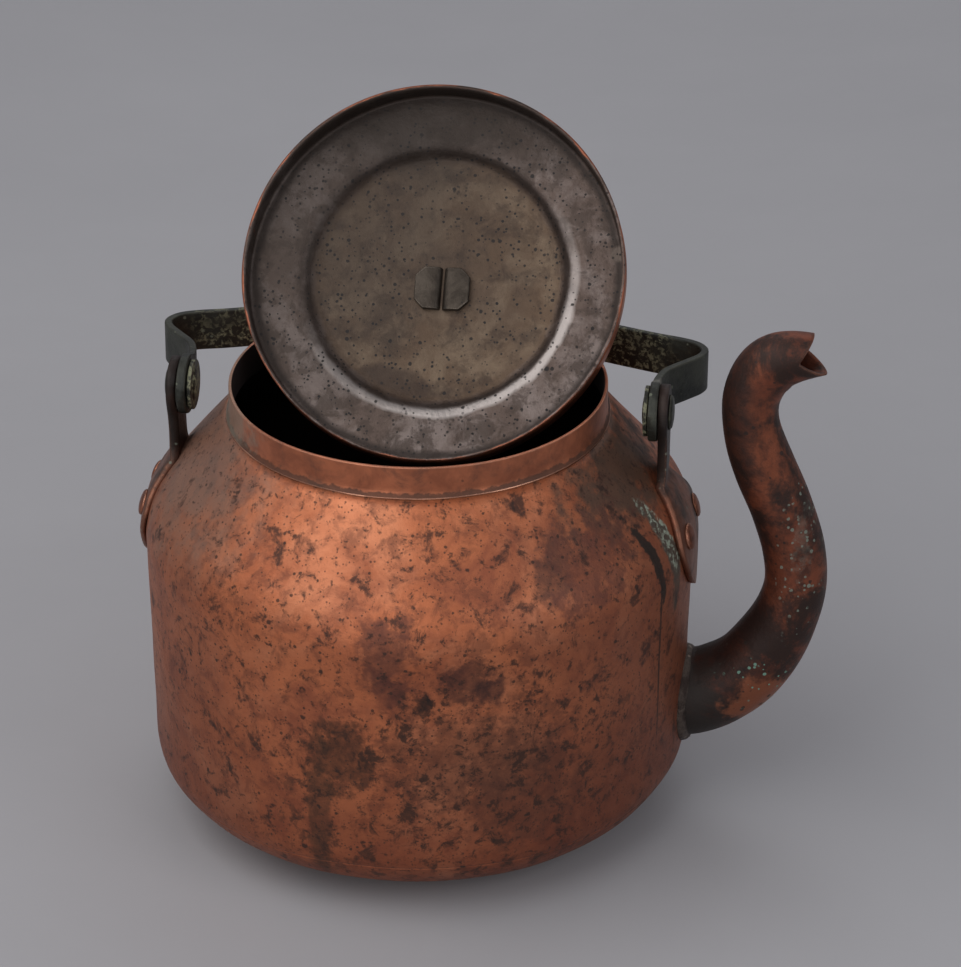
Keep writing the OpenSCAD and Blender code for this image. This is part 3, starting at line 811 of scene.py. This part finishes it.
# ---- lid plate ----
# A copper cap with a turned-down flange and a stepped, raised panel. It stands in the mouth, leaning well
# back, and shows its underside: old tinning, stained brown in the middle and pitted black.
LID_RADIUS = 0.0734
LID_DEPTH = 0.012
LID_CORNER = 0.0026
LID_SHEET = 0.0013
LID_LEAN = math.radians(-128.5)
standing = Matrix.Translation((0.0015, 0.03, 0.2075)) @ Matrix.Rotation(LID_LEAN, 4, "X")
top_side = [(LID_RADIUS, 0), (LID_RADIUS, 0.0048), (LID_RADIUS, LID_DEPTH - LID_CORNER)]
top_side += [(LID_RADIUS - LID_CORNER * (1 - math.cos(math.radians(a))),
              LID_DEPTH - LID_CORNER * (1 - math.sin(math.radians(a)))) for a in (15, 30, 45, 60, 75)]
top_side += [(0.0708, 0.012), (0.066, 0.01195), (0.060, 0.0119), (0.0545, 0.0119), (0.0525, 0.0122),
             (0.0513, 0.0130), (0.0501, 0.0144), (0.0489, 0.0157), (0.0474, 0.0165), (0.045, 0.0169),
             (0.038, 0.0172), (0.030, 0.0176), (0.020, 0.0179), (0.010, 0.0180), (0, 0.0181)]
top_side = [Vector(p) for p in top_side]
under_side = inward(top_side, LID_SHEET)
under_side[0] = Vector((LID_RADIUS - LID_SHEET, 0))
under_side[-1] = Vector((0, 0.0168))
lid_profile = under_side[::-1][:-1] + rounded([under_side[0], top_side[0]], 0.0005) + top_side[1:]


def warped(p):
    """The lid's sheet is a little out of true."""
    wave = noise.noise(p * 22) * 0.0007 + noise.noise(p * 55) * 0.00025
    flat = Vector((p.x, p.y, 0))
    return p + Vector((0, 0, wave)) + flat * (noise.noise(flat * 20) * 0.006)


lid_plate = lathe("lid_plate_cap", lid_profile, shape=warped, turns=256)
lid_plate.matrix_world = standing


def lid_films(t):
    place = add(t, "TexCoord").outputs["Object"]
    here = add(t, "SeparateXYZ", {0: place}).outputs
    flat = add(t, "CombineXYZ", {0: here[0], 1: here[1]}).outputs[0]
    radius = add(t, "VectorMath", {0: flat}, operation="LENGTH").outputs["Value"]
    uneven = add(t, "TexNoise", {"Vector": place, "Scale": 70.0, "Detail": 5.0})
    radius = add(t, "Math", {0: uneven.outputs["Fac"], 1: 0.004, 2: radius},
                 operation="MULTIPLY_ADD").outputs[0]

    def ring(inner, outer, soft):
        """A band round the lid's middle with soft edges."""
        start = add(t, "MapRange", {"Value": radius, "From Min": inner, "From Max": inner + soft})
        stop = add(t, "MapRange", {"Value": radius, "From Min": outer, "From Max": outer - soft})
        return times(t, start.outputs[0], stop.outputs[0])

    # step is a dark line of painted shade in the step's recess; lit is where the step's painted highlight
    # falls, on the lower right
    step = times(t, ring(0.0505, 0.0535, 0.001), cloudy(t, 24.0, 0.6, 0.1))
    lit = spot(t, (0.03, 0.035, 0.011), (0.062, 0.05, 0.03), 0.3, 40.0, 0.5)
    return [
        (cloudy(t, 45.0, 0.5, 0.1), (0.115, 0.082, 0.068), 0.42, 0.7),
        (times(t, cloudy(t, 130.0, 0.45, 0.07, (1, 1, 1)), 0.75), (0.065, 0.045, 0.036), 0.46, 0.6),
        # brown middle
        (times(t, ring(0.0, 0.0515, 0.003), 0.92), (0.12, 0.075, 0.046), 0.5, 0.6),
        (times(t, cloudy(t, 50.0, 0.45, 0.13, (2, 5, 1)), ring(0.0, 0.050, 0.004), 0.85),
         (0.19, 0.135, 0.09), 0.45, 0.6),
        (times(t, cloudy(t, 95.0, 0.4, 0.1, (6, 5, 1)), 0.75, ring(0.0, 0.051, 0.004)),
         (0.05, 0.03, 0.02), 0.5, 0.5),
        (times(t, spot(t, (-0.020, 0.044, 0.016), (0.030, 0.008, 0.03), 0.5), 0.8,
               ring(0.0, 0.051, 0.004)), (0.05, 0.03, 0.021), 0.5, 0.5),
        # painted shade: darker to the left and towards the top edge, where the flange shades the underside
        (times(t, spot(t, (-0.060, -0.045, 0.011), (0.085, 0.085, 0.05), 0.3, 40.0, 0.6), 0.62),
         (0.036, 0.025, 0.019), 0.52, 0.4),
        (times(t, spot(t, (-0.01, -0.072, 0.011), (0.08, 0.026, 0.05), 0.3, 40.0, 0.5), 0.8),
         (0.026, 0.017, 0.012), 0.52, 0.4),
        # painted highlight on the step, bright where the light catches it on the lower right, and painted
        # shade as a dark line inside the step
        (times(t, ring(0.0525, 0.0575, 0.0015), lit, 0.8), (0.42, 0.38, 0.36), 0.3, 0.9),
        (times(t, step, 0.7), (0.035, 0.024, 0.019), 0.5, 0.5),
        # painted shade darkening the corner inside the flange, and a spilt drop of solder on the flange
        (times(t, ring(0.0695, 0.0745, 0.002), 0.85), (0.03, 0.02, 0.016), 0.5, 0.5),
        (spot(t, (0.069, -0.013, 0.010), (0.003, 0.003, 0.006), 0.4), (0.11, 0.085, 0.07), 0.4, 0.7),
        (times(t, dots(t, 650.0, 0.4, 0.6), cloudy(t, 30.0, 0.6, 0.12, (3, 3, 3))), (0.014, 0.011, 0.01),
         0.6, 0.3),
        (times(t, dots(t, 360.0, 0.3, 0.3, (5, 0, 0)), 0.9), (0.014, 0.011, 0.01), 0.6, 0.3),
        # the copper shows on the flange's outer face and edge
        (ring(0.0748, 0.0900, 0.0004), (0.34, 0.12, 0.07), 0.4, 0.9),
        (bare(t, 0.0006, 0.66), (0.58, 0.27, 0.18), 0.34, 1.0),
    ]


def lid_bump(t):
    return hammered(t, 90.0, 520.0, 0.5), 0.0009, 0.6


# The lid is tinned only inside; its top and its flange's outer face are copper like the neck band.
lid_copper = finish("lid copper", (0.40, 0.14, 0.072), 0.45, 0.75, neck_films, neck_bump)
lid_plate.data.materials.append(finish("lid tin", (0.20, 0.16, 0.145), 0.4, 0.75, lid_films, lid_bump))
lid_plate.data.materials.append(lid_copper)
for face in lid_plate.data.polygons:
    out = Vector((face.center.x, face.center.y, 0))
    if face.normal.z > 0.3 or face.normal.dot(out.normalized()) > 0.6 and out.length > 0.07:
        face.material_index = 1
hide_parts("lid_plate")
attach(lid_plate, "lid")

# ---- lid loop ----
# The lid's grip is a strap bent into a ring; its two ends pass through a slot in the middle of the lid and
# are clenched flat against the underside, one to each side.
LOOP_RADIUS = 11.5
LOOP_HEIGHT = 37.6
# Out from the middle and up from the lid's edge, in millimetres, from a clenched end to the top
half_loop = [(10.5, 15.35), (6, 15.35), (2.9, 15.45), (1.9, 16.3), (1.8, 18), (1.8, 21)]
half_loop += [(LOOP_RADIUS * math.cos(math.radians(a)), LOOP_HEIGHT + LOOP_RADIUS * math.sin(math.radians(a)))
              for a in (-79, -60, -40, -20, 0, 20, 40, 60, 78)]
loop_arm = curve([Vector(p) * 0.001 for p in half_loop + [(0, LOOP_HEIGHT + LOOP_RADIUS)]], 5)
loop_line = loop_arm + [Vector((-p.x, p.y)) for p in loop_arm[-2::-1]]
rings = []
for i, p in enumerate(loop_line):
    along = (loop_line[min(i + 1, len(loop_line) - 1)] - loop_line[max(i - 1, 0)]).normalized()
    from_end = min((p - loop_line[0]).length, (p - loop_line[-1]).length)
    width = 0.0165 - 0.007 * (1 - min(1, from_end / 0.0035))
    rings.append([Vector((p.x - along.y * thin, across, p.y + along.x * thin))
                  for across, thin in section(width, 0.0028, 0.0005)])
loop = skin("lid_loop_strap", rings)
loop.matrix_world = standing @ Matrix.Translation((0.002, 0.0032, 0))


def loop_films(t):
    return [
        (cloudy(t, 110.0, 0.5, 0.12), (0.08, 0.064, 0.05), 0.45, 0.7),
        (dots(t, 500.0, 0.3, 0.3), (0.03, 0.025, 0.02), 0.6, 0.4),
        (bare(t, 0.0008, 0.55), (0.34, 0.29, 0.24), 0.35, 0.9),
    ]


loop.data.materials.append(finish("loop bronze", (0.045, 0.035, 0.027), 0.45, 0.75, loop_films, strap_bump))
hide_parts("lid_loop")
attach(loop, "lid")

# ---- floor ----
# A seamless sheet of grey paper that the kettle stands on, so wide that its edge is never seen.
# Its tone is a little uneven.
FAR = 30
floor_mesh = bpy.data.meshes.new("paper")
floor_mesh.from_pydata([(-FAR, -FAR, 0), (FAR, -FAR, 0), (FAR, FAR, 0), (-FAR, FAR, 0)], [], [(0, 1, 2, 3)])
floor = bpy.data.objects.new("paper", floor_mesh)
bpy.context.scene.collection.objects.link(floor)


def paper_films(t):
    return [
        (cloudy(t, 1.2, 0.5, 0.3), (0.43, 0.427, 0.445), 0.7, 0.0),
    ]


floor_mesh.materials.append(finish("grey paper", (0.38, 0.377, 0.395), 0.65, 0.0, paper_films))

# ---- light ----
# A wide soft lamp high on the left, with weaker ones in front, on the right and behind.
# An even grey surround fills the shadows.


def soft_lamp(name, place, aim, size, power, tint):
    """A rectangular lamp at place, turned towards aim."""
    data = bpy.data.lights.new(name, "AREA")
    data.shape = "RECTANGLE"
    data.size, data.size_y = size
    data.energy = power
    data.color = tint
    lamp = bpy.data.objects.new(name, data)
    lamp.location = place
    lamp.rotation_euler = (Vector(aim) - Vector(place)).to_track_quat("-Z", "Y").to_euler()
    bpy.context.scene.collection.objects.link(lamp)


soft_lamp("key", (-0.8, -0.6, 1.55), (0, 0, 0.1), (2.2, 1.4), 15, (1.0, 0.985, 0.97))
soft_lamp("front", (-0.5, -1.9, 0.75), (0, 0, 0.1), (1.8, 1.2), 8, (1.0, 0.98, 0.96))
soft_lamp("fill", (1.4, -0.9, 1.0), (0, 0, 0.1), (1.2, 1.0), 6, (0.94, 0.97, 1.0))
soft_lamp("back", (0.1, 1.4, 1.6), (0, 0, 0.1), (1.6, 0.8), 5, (0.97, 0.98, 1.0))
world = bpy.data.worlds.new("surround")
world.use_nodes = True
world.node_tree.nodes["Background"].inputs["Color"].default_value = (0.62, 0.62, 0.66, 1)
world.node_tree.nodes["Background"].inputs["Strength"].default_value = 0.44
bpy.context.scene.world = world
bpy.context.scene.view_settings.view_transform = "Standard"

# ---- camera ----
# A long lens from above the kettle and a few paces back. It looks at the front, with the spout
# to the right.
camera_data = bpy.data.cameras.new("camera")
camera_data.sensor_fit = "HORIZONTAL"
camera_data.sensor_width = 36
camera_data.lens = 137.2
camera_data.clip_start = 0.05
camera = bpy.data.objects.new("camera", camera_data)
camera.location = (0.1845, -1.2219, 0.7899)
camera.rotation_euler = Vector((-0.1152, 0.8750, -0.4702)).to_track_quat("-Z", "Y").to_euler()
bpy.context.scene.collection.objects.link(camera)
bpy.context.scene.camera = camera
